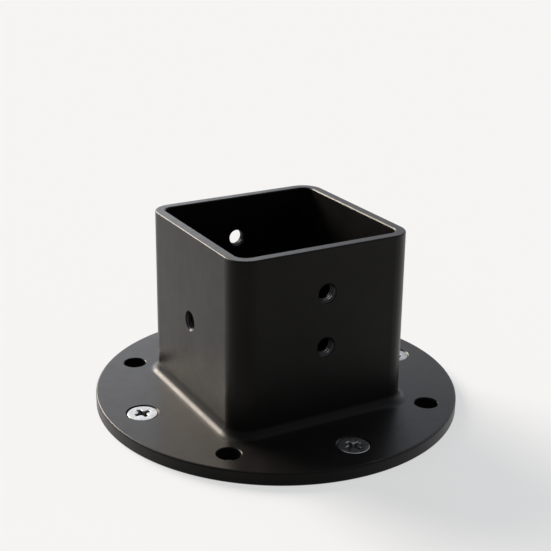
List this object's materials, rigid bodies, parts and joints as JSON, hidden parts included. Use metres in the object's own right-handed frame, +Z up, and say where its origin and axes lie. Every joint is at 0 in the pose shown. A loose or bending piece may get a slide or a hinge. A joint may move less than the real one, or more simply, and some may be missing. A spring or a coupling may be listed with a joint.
{
  "type": "post base",
  "caption": "Black post base: a square socket for a timber post on a round flange with a concave root, plain anchor holes, tapped side holes and countersunk wood screws.",
  "frame": {"origin": "centre of the flange's underside, on the surface that the base is fixed to", "axes": "+Z up along the post, -Y and +Y through the walls with a pair of tapped holes, -X and +X through the walls with one"},
  "size_m": [0.197, 0.197, 0.1549],
  "materials": {
    "powder_coat": "satin black powder coat on steel",
    "zinc_plate": "bright zinc-plated steel"
  },
  "bodies": {
    "root": {"socket_base": "powder_coat", "deck_screws": "zinc_plate"}
  },
  "joints": []
}
